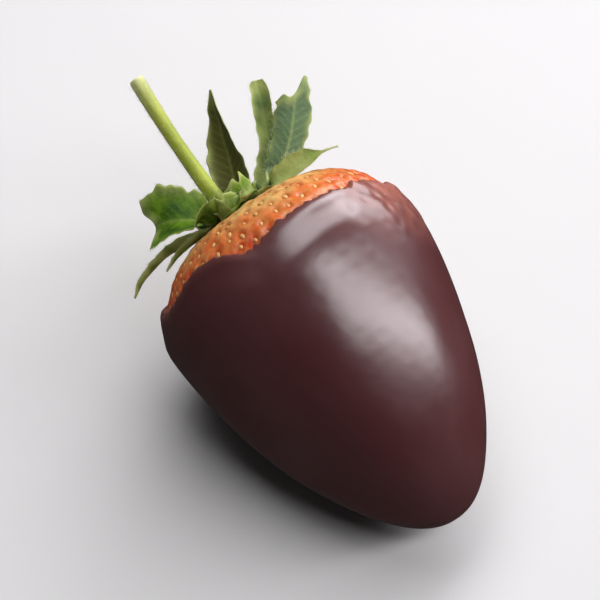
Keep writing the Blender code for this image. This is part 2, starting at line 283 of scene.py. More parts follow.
def bell(value, width):
    """From 1 at 0 down to nothing, a few widths away."""
    return np.exp(-((value / width) ** 2))


def ring_turns(columns):
    """Even turns round a ring, as one row."""
    return np.linspace(0, TAU, columns, endpoint=False)[None, :]


def round_points(radius, angle, height, middle=(0.0, 0.0)):
    """Points at this radius, angle and height round a middle."""
    spots = (middle[0] + radius * np.cos(angle), middle[1] + radius * np.sin(angle), height)
    return np.stack(np.broadcast_arrays(*spots), axis=-1)


def unit(vectors):
    return vectors / np.linalg.norm(vectors, axis=-1, keepdims=True)


def ripple(points, wavelength, seed, waves=14):
    """Smooth uneven values, mostly from -1 to 1, over points, with bumps about a wavelength apart."""
    draw = np.random.default_rng(seed)
    course = unit(draw.normal(size=(waves, 3)))
    pace = TAU / (wavelength * draw.uniform(0.75, 1.5, waves))
    start = draw.uniform(0, TAU, waves)
    return np.cos(points @ (course * pace[:, None]).T + start).sum(axis=-1) / math.sqrt(2 * waves)


def ring_ripple(angle, fewest, most, seed):
    """Smooth uneven values, mostly from -1 to 1, around a ring, made of this many waves."""
    draw = np.random.default_rng(seed)
    total = np.zeros_like(angle)
    for waves in range(fewest, most + 1):
        total += draw.normal() * np.cos(waves * angle + draw.uniform(0, TAU))
    return total / math.sqrt(2 * (most - fewest + 1))


def ring_faces(rings, columns, poles=True):
    """Faces of a tube of rings, each `columns` points round; with poles, two last points close its ends."""
    faces = []
    beside = [*range(1, columns), 0]
    last = (rings - 1) * columns
    for here in range(0, last, columns):
        there = here + columns
        for column, ahead in enumerate(beside):
            faces.append((here + column, there + column, there + ahead, here + ahead))
    if poles:
        first_pole = last + columns
        for column, ahead in enumerate(beside):
            faces += [(first_pole, column, ahead), (last + column, first_pole + 1, last + ahead)]
    return faces


def add_object(name, data):
    made = bpy.data.objects.new(name, data)
    bpy.context.scene.collection.objects.link(made)
    return made


def add_piece(name, points, faces, finish, marks=None, stands_for=()):
    """A smooth mesh in the row's frame that rides on the body, with a value at each point for each mark."""
    mesh = bpy.data.meshes.new(name)
    mesh.from_pydata(points.reshape(-1, 3).tolist(), [], faces)
    for mark, values in (marks or {}).items():
        layer = mesh.attributes.new(mark, "FLOAT", "POINT")
        layer.data.foreach_set("value", np.ascontiguousarray(values, np.float32).ravel())
    mesh.shade_smooth()
    mesh.materials.append(finish)
    piece = add_object(name, mesh)
    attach(piece, "root")
    if stands_for:
        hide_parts(*stands_for)
    return piece


def with_poles(rings, first, last):
    """The points of rings, and then of the two poles."""
    return np.vstack([rings.reshape(-1, 3), first, last])


# --- The body of the berry ---


class Body:
    """The berry's round, read by distance along its outline from the middle of the crown, and how it lies."""

    def __init__(self, berry):
        table = np.array([(-berry.length * down, berry.width / 2 * out) for down, out in BERRY_OUTLINE])
        across = np.array((1.0, -1.0))
        knots = np.vstack([table[1] * across, table, table[-2] * across])
        self.line = smooth_curve(knots, OUTLINE_STEPS)[OUTLINE_STEPS:-OUTLINE_STEPS]
        steps = np.linalg.norm(np.diff(self.line, axis=0), axis=1)
        self.reach = np.concatenate([[0.0], np.cumsum(steps)])
        self.along = unit(np.gradient(self.line, self.reach, axis=0))
        self.size = berry.length
        self.length = self.reach[-1]
        below_neck = (self.line[:, 0] < 0) & (self.reach > self.length / 6)
        self.neck = self.reach[below_neck][0]
        self.tilt = np.array(Matrix.Rotation(berry.tip_down - math.pi / 2, 3, "Y"))
        self.place = np.zeros(3)
        self.place = self.find_place()

    def read(self, values, reach):
        return np.interp(reach, self.reach, values)

    def points(self, reach, angle, proud):
        """Points at `angle` around the body that stand `proud` of the berry's own round."""
        height = self.read(self.line[:, 0], reach)
        radius = self.read(self.line[:, 1], reach)
        up = self.read(self.along[:, 1], reach)
        out = -self.read(self.along[:, 0], reach)
        radius = (radius + out * proud) * self.swell(angle, height)
        return round_points(radius, angle, height + up * proud)

    def swell(self, angle, height):
        factor = 1.0
        for waves, depth, turn, along in SWELLS:
            phase = math.radians(turn) + math.pi * along * height / self.size
            factor = factor + depth * np.cos(waves * angle - phase)
        return factor

    def crown_height(self, radius):
        """Height of the crown at this radius from the axis."""
        crown = self.reach < self.neck
        return np.interp(radius, self.line[crown, 1], self.line[crown, 0])

    def lay(self, points):
        """Points of the berry's frame in the row's."""
        return points @ self.tilt.T + self.place

    def find_place(self):
        """Where the neck is in the row's frame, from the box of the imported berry."""
        low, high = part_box("strawberry")
        reach = np.linspace(0, self.length, 160)[:, None]
        turned = self.lay(self.points(reach, np.linspace(0, TAU, 240)[None, :], 0.0)).reshape(-1, 3)
        least, most = turned.min(axis=0), turned.max(axis=0)
        return np.array((high.x - most[0], (low.y + high.y - least[1] - most[1]) / 2, high.z - most[2]))


def press_flat(points, floor, softness):
    """Points of the row's frame, with those under `floor` eased up to it."""
    lifted = points.copy()
    over = points[..., 2] - floor
    lifted[..., 2] = floor + (over + np.sqrt(over**2 + softness**2)) / 2
    return lifted


def hem_reach(body, angle, scallop):
    """Where the chocolate ends, as a distance along the outline."""
    rise = sum(height * np.cos(waves * angle - math.radians(turn)) for waves, height, turn in HEM_WAVES)
    for turn, width, depth in HEM_NOTCHES:
        rise = rise - depth * bell(turn_from(angle, turn), width)
    ragged = 0.8 * ring_ripple(angle, 9, 20, seed=3) + 0.9 * ring_ripple(angle, 24, 58, seed=4)
    ragged = ragged + 0.6 * ring_ripple(angle, 60, 115, seed=5)
    return body.neck - rise - scallop * ragged


def turn_from(angle, turn):
    """Degrees from `turn` to each angle, the short way round."""
    return (np.degrees(angle) - turn + 180) % 360 - 180


def seed_places(body, spacing):
    """(distance along the outline, angle) of every seed, in staggered rings."""
    draw = np.random.default_rng(11)
    places = []
    reach = 5.5 * MM
    while reach < body.length - spacing:
        radius = float(body.read(body.line[:, 1], reach))
        around = max(3, round(TAU * radius / (spacing * 1.12)))
        start = draw.uniform(0, TAU)
        for number in range(around):
            shift, slip = draw.uniform(-0.22, 0.22, 2)
            places.append((reach + slip * spacing, start + TAU * (number + shift) / around))
        reach += spacing * 0.92
    return np.array(places)


def seed_nearness(body, points, places, size):
    """From 1 at the middle of the nearest seed to 0 far from it, at each point."""
    spots = body.points(places[:, 0], places[:, 1], 0.0)
    tree = kdtree.KDTree(len(spots))
    for number, spot in enumerate(spots):
        tree.insert(spot, number)
    tree.balance()
    apart = np.array([tree.find(point)[2] for point in points.reshape(-1, 3)])
    return bell(apart, size).reshape(points.shape[:-1])


# --- Finishes ---

WHITE = (1.0, 1.0, 1.0)
HUSK_BROWN = (0.60, 0.26, 0.07)
# Painted shade multiplied over the flesh in the seed pits.
PAINTED_PIT_SHADE = (0.72, 0.40, 0.30)
FLOOR_BLOTCH = (0.59, 0.60, 0.59)


def add_node(tree, kind, inputs=None, **settings):
    """A shader node with its settings; each input takes a value or the output of another node."""
    node = tree.nodes.new("ShaderNode" + kind)
    for setting, value in settings.items():
        setattr(node, setting, value)
    for socket, value in (inputs or {}).items():
        if isinstance(value, bpy.types.NodeSocket):
            tree.links.new(value, node.inputs[socket])
        else:
            node.inputs[socket].default_value = value if isinstance(value, (int, float)) else solid(value)
    return node


def solid(colour):
    return (*colour[:3], 1.0)


def noise(tree, place, scale, detail):
    return add_node(tree, "TexNoise", {"Vector": place, "Scale": scale, "Detail": detail}).outputs[0]


def spread(tree, value, **ends):
    """A value stretched from one range to another; the ends are named as on the node."""
    inputs = {label.replace("_", " "): end for label, end in ends.items()}
    return add_node(tree, "MapRange", {"Value": value, **inputs}).outputs["Result"]


def compute(tree, operation, *values):
    return add_node(tree, "Math", dict(enumerate(values)), operation=operation).outputs[0]


def blend_colour(tree, share, first, second, kind="MIX"):
    """The colour `share` of the way from the first to the second."""
    inputs = {"Factor": share, 6: first, 7: second}
    return add_node(tree, "Mix", inputs, data_type="RGBA", blend_type=kind).outputs[2]


def new_group(name, inputs, outputs):
    """A node group with inputs of these values and outputs of these kinds, its inputs and its end."""
    group = bpy.data.node_groups.new(name, "ShaderNodeTree")
    for label, value in inputs.items():
        kind = "Float" if isinstance(value, float) else "Color"
        socket = group.interface.new_socket(label, in_out="INPUT", socket_type="NodeSocket" + kind)
        socket.default_value = value if isinstance(value, float) else solid(value)
    for label, kind in outputs.items():
        group.interface.new_socket(label, in_out="OUTPUT", socket_type="NodeSocket" + kind)
    return group, group.nodes.new("NodeGroupInput").outputs, group.nodes.new("NodeGroupOutput").inputs


def blotch_group():
    """Two colours in soft blotches, as flesh, leaf and chocolate have."""
    values = {"Colour": WHITE, "Blotch": WHITE, "Fineness": 300.0, "Amount": 0.5}
    group, given, result = new_group("soft_blotches", values, {"Colour": "Color", "Mask": "Float"})
    place = add_node(group, "TexCoord").outputs["Object"]
    blotches = noise(group, place, given["Fineness"], 4.0)
    mask = compute(group, "MULTIPLY", spread(group, blotches, From_Min=0.36, From_Max=0.64), given["Amount"])
    mixed = blend_colour(group, mask, given["Colour"], given["Blotch"])
    group.links.new(mixed, result["Colour"])
    group.links.new(mask, result["Mask"])
    return group


def relief_group():
    """Height of a fine uneven surface, coarse and fine together."""
    values = {"Coarse": 400.0, "Fine": 2000.0, "Fine Share": 0.3}
    group, given, result = new_group("fine_relief", values, {"Height": "Float"})
    place = add_node(group, "TexCoord").outputs["Object"]
    coarse = noise(group, place, given["Coarse"], 1.0)
    fine = noise(group, place, given["Fine"], 2.0)
    height = compute(group, "MULTIPLY_ADD", fine, given["Fine Share"], coarse)
    group.links.new(height, result["Height"])
    return group


def kept_finish(name, make, settings):
    """The finish of this name, made the first time it is asked for."""
    return bpy.data.materials.get(name) or make(settings)


def new_finish(name, roughness, **fixed):
    """A material, its node tree and its shader, with the shader's even values set."""
    made = bpy.data.materials.new(name)
    made.use_nodes = True
    shader = made.node_tree.nodes["Principled BSDF"]
    shader.inputs["Roughness"].default_value = roughness
    for label, value in fixed.items():
        shader.inputs[label.replace("_", " ")].default_value = value
    return made, made.node_tree, shader


def mark_value(tree, name):
    return add_node(tree, "Attribute", attribute_name=name).outputs["Fac"]


def blotched(tree, colour, blotch, fineness, amount):
    """The blotched colour and the mask of its blotches."""
    inputs = {"Colour": colour, "Blotch": blotch, "Fineness": fineness, "Amount": amount}
    blotches = bpy.data.node_groups.get("soft_blotches") or blotch_group()
    return add_node(tree, "Group", node_tree=blotches, inputs=inputs).outputs


def paint(tree, shader, colour, relief=None):
    """Give the shader its colour, and fine relief of (coarse, fine, share of the fine, depth)."""
    tree.links.new(colour, shader.inputs["Base Color"])
    if relief:
        *grain, depth = relief
        inputs = dict(zip(("Coarse", "Fine", "Fine Share"), grain))
        uneven = bpy.data.node_groups.get("fine_relief") or relief_group()
        height = add_node(tree, "Group", node_tree=uneven, inputs=inputs).outputs["Height"]
        bump = add_node(tree, "Bump", {"Height": height, "Distance": depth})
        tree.links.new(bump.outputs["Normal"], shader.inputs["Normal"])


def chocolate_finish(chocolate):
    """Satin dark chocolate with faint dull blotches, redder where it is thin over the berry."""
    made, tree, shader = new_finish("satin_chocolate", 0.36, IOR=1.85)
    body = blotched(tree, chocolate.colour, chocolate.bloom_colour, 90.0, 0.7)
    thin = mark_value(tree, "thin")
    colour = blend_colour(tree, thin, body["Colour"], chocolate.thin_colour)
    rough = spread(tree, body["Mask"], To_Min=0.29, To_Max=0.35)
    tree.links.new(compute(tree, "MULTIPLY_ADD", thin, -0.10, rough), shader.inputs["Roughness"])
    paint(tree, shader, colour, (260.0, 1500.0, 0.15, 0.03 * MM))
    return made


def flesh_finish(berry):
    """Glossy flesh: pale by the leaves, then orange, then red, with painted shade on the flanks and in the
    pits.
    """
    glow = {"Subsurface_Weight": 0.15, "Subsurface_Scale": 1.0 * MM}
    made, tree, shader = new_finish("glossy_flesh", 0.24, IOR=1.40, **glow)
    # The ripeness mark also carries painted shade on the berry's flanks.
    ripe = mark_value(tree, "ripe")
    first = spread(tree, ripe, From_Min=0.0, From_Max=0.5)
    second = spread(tree, ripe, From_Min=0.5, From_Max=1.0)
    upper = blend_colour(tree, first, berry.crown_colour, berry.band_colour)
    whole = blend_colour(tree, second, upper, berry.ripe_colour)
    flecked = blotched(tree, whole, berry.crown_colour, 700.0, 0.45)["Colour"]
    mottled = blotched(tree, flecked, berry.ripe_colour, 330.0, 0.40)["Colour"]
    # Painted shade: the flesh is darkened in the seed pits.
    colour = blend_colour(tree, mark_value(tree, "pit"), mottled, PAINTED_PIT_SHADE, "MULTIPLY")
    paint(tree, shader, colour, (900.0, 3000.0, 0.4, 0.12 * MM))
    return made


def tinted_finish(name, roughness, mixture, tints=(), relief=None, **fixed):
    """Two blotched colours, with a tint over them by each mark that is named."""
    made, tree, shader = new_finish(name, roughness, **fixed)
    colour = blotched(tree, *mixture)["Colour"]
    for mark, tint in tints:
        colour = blend_colour(tree, mark_value(tree, mark), colour, tint)
    paint(tree, shader, colour, relief)
    return made


def seed_finish(berry):
    """Dry yellow seeds, some browner than others."""
    mixture = (berry.seed_colour, HUSK_BROWN, 380.0, 0.8)
    return tinted_finish("seed_husk", 0.42, mixture, (), (2500.0, 6000.0, 0.3, 0.04 * MM))


def leaf_finish(cap):
    """Matt green, deeper between the veins, silvery on some leaves, painted shade on some, pale edges partly
    painted highlight.
    """
    mixture = (cap.leaf_colour, cap.deep_colour, 420.0, 0.95)
    # The olive tint is painted shade over leaves that lie in shade.
    tints = (("olive", cap.painted_shade_colour), ("silver", cap.silver_colour))
    # The margin tint is partly the leaves' own pale edges and tips, partly painted highlight.
    tints = (*tints, ("vein", cap.pale_and_highlight_colour), ("margin", cap.pale_and_highlight_colour))
    return tinted_finish("downy_leaf", 0.58, mixture, tints, (1400.0, 4200.0, 0.4, 0.10 * MM), IOR=1.24)


def stalk_finish(cap):
    """Yellow green stalk, greener at its foot, with a pale cut end."""
    mixture = (cap.stem_colour, cap.leaf_colour, 240.0, 0.35)
    tints = (("foot", cap.leaf_colour), ("cut", cap.cut_colour))
    return tinted_finish("downy_stalk", 0.46, mixture, tints, (1200.0, 4000.0, 0.4, 0.08 * MM), IOR=1.40)


def down_finish(cap):
    """Pale hairs, a little uneven in colour."""
    return tinted_finish("pale_down", 0.60, (cap.hair_colour, cap.leaf_colour, 300.0, 0.5), IOR=1.32)


# --- The berry and its seeds ---

RIPENS_FROM = 13.6 * MM  # distance along the outline at which the flesh starts to ripen
# Rings of a seed, as shares of half its length, and points round it.
SEED_RINGS = (-0.92, -0.6, -0.1, 0.4, 0.75, 0.94)
SEED_SIDES = 9


def flesh_skin(body, berry, places):
    """Points of the berry's skin in its own frame, with its ripeness, painted shade on its flanks, and its
    pits.
    """
    hidden_from = body.neck + 5 * MM
    visible = np.arange(CROWN_STEP, hidden_from, CROWN_STEP)
    hidden = np.linspace(hidden_from, body.length - 0.5 * MM, HIDDEN_RINGS)
    reach = np.concatenate([visible, hidden])[:, None]
    angle = ring_turns(COLUMNS)
    base = body.points(reach, angle, 0.0)
    pit = seed_nearness(body, base, places, 0.62 * MM)
    quilt = 0.12 * ripple(base, 3.2 * MM, seed=21) + 0.07 * ripple(base, 1.3 * MM, seed=24) + 0.10
    skin = body.points(reach, angle, quilt * MM - berry.pit_depth * pit)
    uneven = 0.16 * ripple(base, 6 * MM, seed=22) + 0.10 * ripple(base, 2.2 * MM, seed=23)
    # Away from its upper side the flesh is made redder and darker: partly the berry's own ripening, partly
    # painted shade.
    side = 0.20 - 0.32 * bell(turn_from(angle, 0.0), 32.0)
    ripe = (reach - RIPENS_FROM) / (body.neck + 1.5 * MM - RIPENS_FROM) + uneven + side
    return skin, np.clip(ripe, 0, 1), pit


def seed_body(length):
    """The points of one seed about its own middle: pointed ovals, longest along their second axis."""
    around = ring_turns(SEED_SIDES)
    shares = np.array(SEED_RINGS)[:, None]
    swell = np.sqrt(1 - np.abs(shares) ** 2.2) * (1 - 0.25 * shares)
    width, depth = 0.34 * length * swell, 0.20 * length * swell
    spots = (width * np.cos(around), length / 2 * shares, depth * np.sin(around))
    rings = np.stack(np.broadcast_arrays(*spots), axis=-1)
    return with_poles(rings, (0, -length / 2, 0), (0, length / 2, 0))


def add_seeds(body, berry, places):
    """Every seed that can be seen, set in its pit with its point to the tip, as one piece."""
    lowest = body.neck + 3.5 * MM
    one = seed_body(berry.seed_length)
    one_faces = ring_faces(len(SEED_RINGS), SEED_SIDES)
    draw = np.random.default_rng(12)
    points, faces = [], []
    for reach, angle in places[places[:, 0] < lowest]:
        middle = body.points(reach, angle, -0.62 * berry.pit_depth)
        foot = body.points(reach, angle, 0.0)
        up = unit(body.points(reach, angle, 1 * MM) - foot)
        down = body.points(reach + 0.2 * MM, angle, 0.0) - foot
        lead = unit(down - up * (down @ up))
        turn = draw.normal() * 0.35
        side = np.cross(lead, up)
        turned = lead * math.cos(turn) + side * math.sin(turn)
        side = side * math.cos(turn) - lead * math.sin(turn)
        size = draw.uniform(0.68, 1.06)
        start = len(one) * len(points)
        points.append(middle + size * (one @ np.array((side, turned, up))))
        faces += [tuple(start + corner for corner in face) for face in one_faces]
    finish = kept_finish("seed_husk", seed_finish, berry)
    return add_piece("berry_seeds", body.lay(np.vstack(points)), faces, finish)


class STRAWBERRY_OT_berry(Operator):
    """Make the berry's flesh with its pits, and its seeds"""

    bl_idname = "strawberry.berry"
    bl_label = "Berry and Seeds"

    def execute(self, context):
        berry = context.scene.strawberry_berry
        body = Body(berry)
        places = seed_places(body, berry.seed_spacing)
        skin, ripe, pit = flesh_skin(body, berry, places)
        skin = with_poles(skin, body.points(0.0, 0.0, 0.0), body.points(body.length, 0.0, 0.0))
        points = press_flat(body.lay(skin), context.scene.strawberry_chocolate.thickness, 0.3 * MM)
        marks = {"ripe": np.append(ripe.ravel(), (0, 1)), "pit": np.append(pit.ravel(), (0, 0))}
        finish = kept_finish("glossy_flesh", flesh_finish, berry)
        faces = ring_faces(len(ripe), COLUMNS)
        add_piece("berry_skin", points, faces, finish, marks, ["strawberry"])
        add_seeds(body, berry, places)
        return {"FINISHED"}


# --- The chocolate ---

LIP_ROUND = 0.75 * MM
LIP_UNDERCUT = 0.22 * MM
INNER_SINK = -0.12 * MM  # of the chocolate's inside, from the berry's mean round
FOOT_SOFTNESS = 0.35 * MM


def thin_share(angle, below):
    """How far the chocolate thins out at each place: 1 is as thin as it gets."""
    thin = 0.0
    for turn, width, reach, share in THIN_PATCHES:
        thin = thin + share * bell(turn_from(angle, turn), width) * (1 - smooth_step(below / reach))
    return thin


def coat_thickness(body, chocolate, base, angle, depth, thin, places):
    """Thickness at each depth below the edge: a bead, a trough, slow waves, and pits and knobs by seeds."""
    growth = smooth_step(depth / chocolate.lip_depth)
    thick = chocolate.lip_thickness + (chocolate.thickness - chocolate.lip_thickness) * growth
    bead_place = 1.3 * MM + 0.3 * MM * ring_ripple(angle, 2, 7, seed=31)
    bead = bell(depth - bead_place, 1.1 * MM) * (1 + 0.5 * ring_ripple(angle, 2, 9, seed=32))
    trough = bell(depth - 4.0 * MM, 1.6 * MM)
    sag = ripple(base, 15 * MM, seed=33) * smooth_step(depth / (8 * MM))
    rough = ripple(base, 5.5 * MM, seed=34) * (0.008 * MM + 0.05 * MM * np.exp(-depth / (4 * MM)))
    pits = seed_nearness(body, base, places, 0.75 * MM)
    thick = thick + chocolate.bead * bead - 0.5 * chocolate.bead * trough + chocolate.sag * sag + rough
    knobs = np.clip(thin, 0, 1) * (0.13 * MM * ripple(base, 2.2 * MM, seed=36) - 0.24 * MM * pits)
    return thick - 0.55 * MM * thin + knobs - 0.012 * MM * pits


def coat_rings(body, chocolate, places):
    """The chocolate's rings, from its hidden tip up the inside, over the lip and down to its tip."""
    angle = ring_turns(COLUMNS)
    hem = hem_reach(body, angle, chocolate.scallop)
    even_hem = hem_reach(body, angle, 0.0)
    total = body.length - hem

    # Over the lip: a quarter round, a little undercut.
    swing = np.linspace(0, math.pi / 2, LIP_RINGS)[:, None]
    lip_below = LIP_ROUND * (1 - np.cos(swing)) + LIP_UNDERCUT * (1 - np.sin(swing)) ** 2
    lip_full = np.sin(swing) ** 0.8

    near = np.arange(LIP_ROUND + LIP_STEP, chocolate.lip_depth * 1.6, LIP_STEP)[:, None]
    rest = round(float(total.mean() - near[-1, 0]) / BODY_STEP)
    shares = np.linspace(0, 1, rest + 2)[1:-1, None]
    far = near[-1] + (total - near[-1]) * shares
    everywhere = np.ones((1, COLUMNS))
    below = np.vstack([lip_below * everywhere, near * everywhere, far])
    full = np.vstack([lip_full, np.ones((len(below) - LIP_RINGS, 1))])

    # The coat's thickness follows the even edge, so that the ragged one leaves no pleats.
    depth = np.maximum(hem + below - even_hem, 0.0)
    thin = thin_share(angle, depth)
    base = body.points(hem + below, angle, 0.0)
    thick = coat_thickness(body, chocolate, base, angle, depth, thin, places)
    stand = (chocolate.seat + thick) * full - 0.1 * MM * (1 - full)
    outer = body.points(hem + below, angle, stand)

    shares = np.linspace(1, 0, INNER_RINGS + 2)[1:-1, None]
    inner = body.points(hem + LIP_UNDERCUT + (total - LIP_UNDERCUT) * shares, angle, INNER_SINK)
    edge = np.exp(-below / (0.7 * MM)) * 0.35
    thin = np.clip(np.clip(thin, 0, 1) * (0.80 + 0.30 * ripple(base, 3 * MM, seed=35)) + edge, 0, 1)
    marks = np.vstack([np.zeros((INNER_RINGS, COLUMNS)), thin])
    return np.concatenate([inner, outer]), marks


class STRAWBERRY_OT_chocolate_coat(Operator):
    """Make the chocolate, from its ragged edge to its tip, with the flat spot that it rests on"""

    bl_idname = "strawberry.chocolate_coat"
    bl_label = "Chocolate Coat"

    def execute(self, context):
        chocolate = context.scene.strawberry_chocolate
        berry = context.scene.strawberry_berry
        body = Body(berry)
        rings, thin = coat_rings(body, chocolate, seed_places(body, berry.seed_spacing))
        inner_tip = body.points(body.length, 0.0, INNER_SINK)
        outer_tip = body.points(body.length, 0.0, chocolate.seat + chocolate.thickness)
        points = body.lay(with_poles(rings, inner_tip, outer_tip))
        outside = np.ones(len(points), bool)
        outside[: INNER_RINGS * COLUMNS] = False
        outside[-2] = False
        points[outside] = press_flat(points[outside], 0.0, FOOT_SOFTNESS)
        points[~outside] = press_flat(points[~outside], 0.75 * chocolate.thickness, FOOT_SOFTNESS)
        points[:, 2] -= points[:, 2].min()
        marks = {"thin": np.append(thin.ravel(), (0, 0))}
        faces = ring_faces(len(rings), COLUMNS)
        finish = kept_finish("satin_chocolate", chocolate_finish, chocolate)
        add_piece("chocolate_shell", points, faces, finish, marks, ["chocolate_coat"])
        return {"FINISHED"}


# --- The green cap ---


def polar(turn, out, height):
    return np.array((out * math.cos(turn), out * math.sin(turn), height))


class Cap:
    """Where the green cap sits on the berry, and its settings."""

    def __init__(self, scene):
        self.body = Body(scene.strawberry_berry)
        self.settings = scene.strawberry_cap
        self.shift = polar(self.settings.turn, self.settings.offset, 0.0)
        self.crown = float(self.body.crown_height(0.0))
        self.radius = self.settings.disc_radius
        self.height = self.settings.disc_height
        self.top = self.crown + GAP + self.height

    def lay(self, points):
        return self.body.lay(points + self.shift)

    def disc_top(self, out):
        return self.top - 0.75 * self.height * (out / self.radius) ** 3


def disc_rings(cap):
    """The round middle of the cap: ribbed between the leaves, and raised where the stalk leaves it."""
    angle = ring_turns(DISC_COLUMNS)
    out = np.linspace(0.04, 1.0, DISC_RINGS)[:, None]
    ribs = np.cos(10 * angle + 0.4) * smooth_step(out * 1.4 - 0.3)
    rim = 1 + 0.03 * np.cos(5 * angle + 0.3) + 0.02 * ring_ripple(angle, 3, 14, seed=41)
    top = cap.disc_top(cap.radius * out) + 0.14 * MM * ribs + 0.45 * MM * bell(out, 0.32)
    below = np.linspace(1.0, 0.04, DISC_UNDER_RINGS)[:, None]
    under_radius = cap.radius * below * rim * 0.985
    under = cap.body.crown_height(under_radius) + 0.05 * MM
    radius = np.vstack([cap.radius * out * rim, under_radius])
    return round_points(radius, angle, np.vstack([top, under]))


def leaf_line(cap, leaf, layer):
    """A leaf's middle line from inside the disc's rim to its tip, with the share of its turn at each stop."""
    root_turn, tip_turn = math.radians(leaf.root_turn), math.radians(leaf.tip_turn)
    root_out = cap.radius + GAP + 0.2 * MM
    rise = GAP + 0.8 * cap.settings.leaf_thickness + layer
    root_height = float(cap.body.crown_height(root_out)) + rise
    root = polar(root_turn, root_out, root_height)
    tip = polar(tip_turn, leaf.tip_out * MM, cap.crown + leaf.tip_up * MM)
    bend_out = root_out + 0.55 * (leaf.tip_out * MM - root_out)
    bend = polar(0.7 * root_turn + 0.3 * tip_turn, bend_out, root_height + leaf.rise * MM)
    share = np.linspace(0, 1, 7)[:, None]
    knots = (1 - share) ** 2 * root + 2 * share * (1 - share) * bend + share**2 * tip
    collar = polar(root_turn, COLLAR_OUT, cap.disc_top(COLLAR_OUT) - 0.1 * MM)
    line = smooth_curve(np.vstack([collar, knots]), CURVE_STEPS)
    turned = np.interp(np.arange(len(line)), (0, CURVE_STEPS, len(line) - 1), (0.0, 0.0, 1.0))
    return line, turned


def lobed_end(leaf, across):
    """How far along its length a leaf ends, across its width."""
    if not leaf.lobes:
        return np.ones_like(across)
    lobes = [size * bell(across - place, breadth) for place, size, breadth in leaf.lobes]
    ends = 1 - max(size for _, size, _ in leaf.lobes) + sum(lobes)
    return ends / ends.max()


def uneven_edges(share, across, draw):
    """How far each side of a leaf wavers along its length, as a share of its half width."""
    edges = []
    for _ in range(2):
        starts = draw.uniform(0, TAU, len(EDGE_PACES))
        edges.append((EDGE_DEPTHS * np.sin(EDGE_PACES * share + starts)).sum(axis=1, keepdims=True))
    return np.where(across < 0, *edges)


def leaf_surface(cap, leaf, layer, seed):
    """Rings of points round a leaf's blade, and its marks: a curved, veined blade with lifted pale edges,
    partly painted highlight.
    """
    line, turned = leaf_line(cap, leaf, layer)
    steps = np.linalg.norm(np.diff(line, axis=0), axis=1)
    run = np.concatenate([[0.0], np.cumsum(steps)])
    length = run[-1]
    along = unit(np.gradient(line, run, axis=0))

    share = np.linspace(0.0, 1.0, LEAF_ROWS)[:, None]
    across = np.linspace(-1.0, 1.0, LEAF_COLUMNS)[None, :]
    draw = np.random.default_rng(seed)
    edge_wobble = uneven_edges(share, across, draw)
    reach = share * lobed_end(leaf, across) * length
    width = smooth_value(LEAF_OUTLINES[leaf.outline], np.clip(reach / length, 0, 1))
    half = 0.5 * leaf.width * MM * width * (1 + edge_wobble * np.abs(across))

    def read(values):
        return np.stack([np.interp(reach, run, values[:, axis]) for axis in range(3)], axis=-1)

    # The blade's own directions: along it, across it and out of its upper face.
    middle, lead = read(line), unit(read(along))
    turn_share = np.interp(reach, run, turned)
    turn = math.radians(leaf.root_turn) + math.radians(leaf.tip_turn - leaf.root_turn) * turn_share
    side = np.stack([-np.sin(turn), np.cos(turn), np.zeros_like(turn)], axis=-1)
    side = unit(side - lead * (side * lead).sum(axis=-1, keepdims=True))
    face = np.cross(lead, side)
    roll = (math.radians(leaf.roll) * smooth_step(turn_share / ROLLED_BY))[..., None]
    side, face = side * np.cos(roll) + face * np.sin(roll), face * np.cos(roll) - side * np.sin(roll)

    # How far each place is lifted off the middle line.
    cup = half * (0.10 * across**2 + 0.26 * np.sqrt(across**2 + 0.01))
    curl = leaf.curl * half * np.abs(across) ** 5 * smooth_step(share * 3)
    wave = 0.10 * half * across * np.sin(7.5 * share + draw.uniform(0, TAU)) * smooth_step(share * 2)
    flat = middle + side * (half * across)[..., None]
    buckle = 0.12 * MM * ripple(flat, 3.5 * MM, seed + 7) * smooth_step(share * 3)
    lift = cup + curl + wave + buckle

    # Slanting side veins and the midrib, sunk into both faces.
    slant = (reach - 0.9 * np.abs(half * across)) / VEIN_SPACING
    ribs = np.clip(np.cos(TAU * slant), 0, 1) ** 4 * np.clip(1 - np.abs(across) ** 4, 0, 1)
    midrib = bell(across * half, MIDRIB_WIDTH) * (1 - 0.6 * share)
    vein = np.clip(0.28 * ribs * (1 - share) ** 0.3 + 0.7 * midrib, 0, 1) * smooth_step(share * 5)
    relief = VEIN_DEPTH * vein
    swell = 0.25 + 0.75 * (1 - np.abs(across) ** 3) * (1 - 0.5 * share)
    thick = 0.5 * cap.settings.leaf_thickness * swell + 0.16 * MM * (1 - share) ** 5
    upper = flat + face * (lift + thick - relief)[..., None]
    lower = flat + face * (lift - thick - relief * 1.5)[..., None]

    # Pale edges and tips, partly the leaf's own colour and partly painted highlight; each leaf's pale share
    # adds painted light over its whole blade.
    margin = np.clip(np.abs(across) ** 7 * 0.9 + 0.7 * smooth_step((share - 0.86) / 0.14), 0, 1)
    patchy = 0.75 + 0.5 * ripple(flat, 2.5 * MM, seed + 3)
    margin = np.clip(margin * smooth_step(share * 4) * patchy, 0, 1)
    margin = np.clip(margin + leaf.pale * patchy, 0, 1)

    def both_faces(above, under):
        return np.concatenate([above, under[:, ::-1]], axis=1)

    blank = np.ones(half.shape)
    marks = {
        "vein": (0.45 * vein, 0.65 * vein),
        "margin": (margin, margin),
        # Painted shade over the whole leaf.
        "olive": (leaf.olive * blank, leaf.olive * blank),
        "silver": (0.75 * leaf.silver * blank, leaf.silver * blank),
    }
    return both_faces(upper, lower), {mark: both_faces(*pair) for mark, pair in marks.items()}


